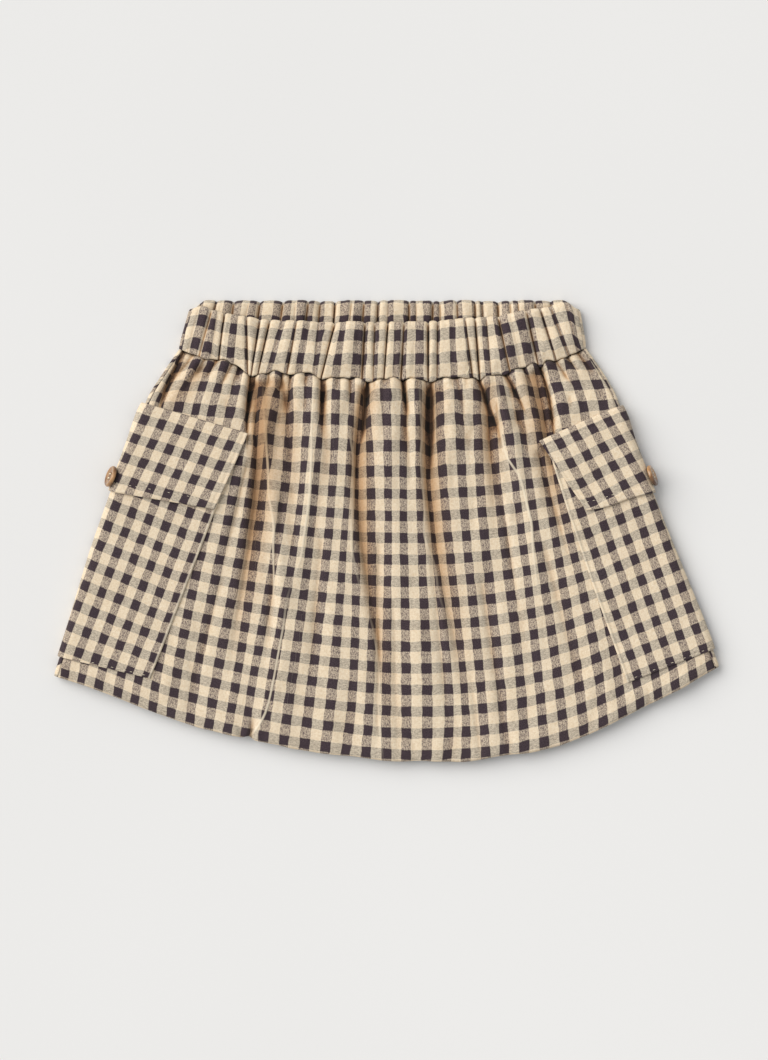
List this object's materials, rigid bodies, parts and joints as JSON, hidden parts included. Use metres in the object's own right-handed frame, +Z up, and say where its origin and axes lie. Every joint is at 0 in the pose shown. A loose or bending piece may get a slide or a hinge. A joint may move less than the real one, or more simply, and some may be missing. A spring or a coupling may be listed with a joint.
{
  "type": "cargo skirt",
  "caption": "Small child's gathered cargo skirt in checked cotton, laid flat, with an elastic waistband and flapped patch pockets that wrap round the sides.",
  "frame": {"origin": "centre of the bounding box in plan, on the surface that the skirt lies on", "axes": "+X across the skirt from its left edge to its right edge as seen from above, +Y from the hem to the waist, +Z up, away from the surface"},
  "size_m": [0.3462, 0.24, 0.0138],
  "materials": {
    "checked_cotton": "matt plain weave",
    "button": "polished, horn-like"
  },
  "bodies": {
    "root": {"front_panel": "checked_cotton", "back_panel": "checked_cotton", "front_waistband": "checked_cotton", "back_waistband": "checked_cotton", "left_pocket": "checked_cotton", "left_flap": "checked_cotton", "left_button": "button", "right_pocket": "checked_cotton", "right_flap": "checked_cotton", "right_button": "button"}
  },
  "joints": []
}
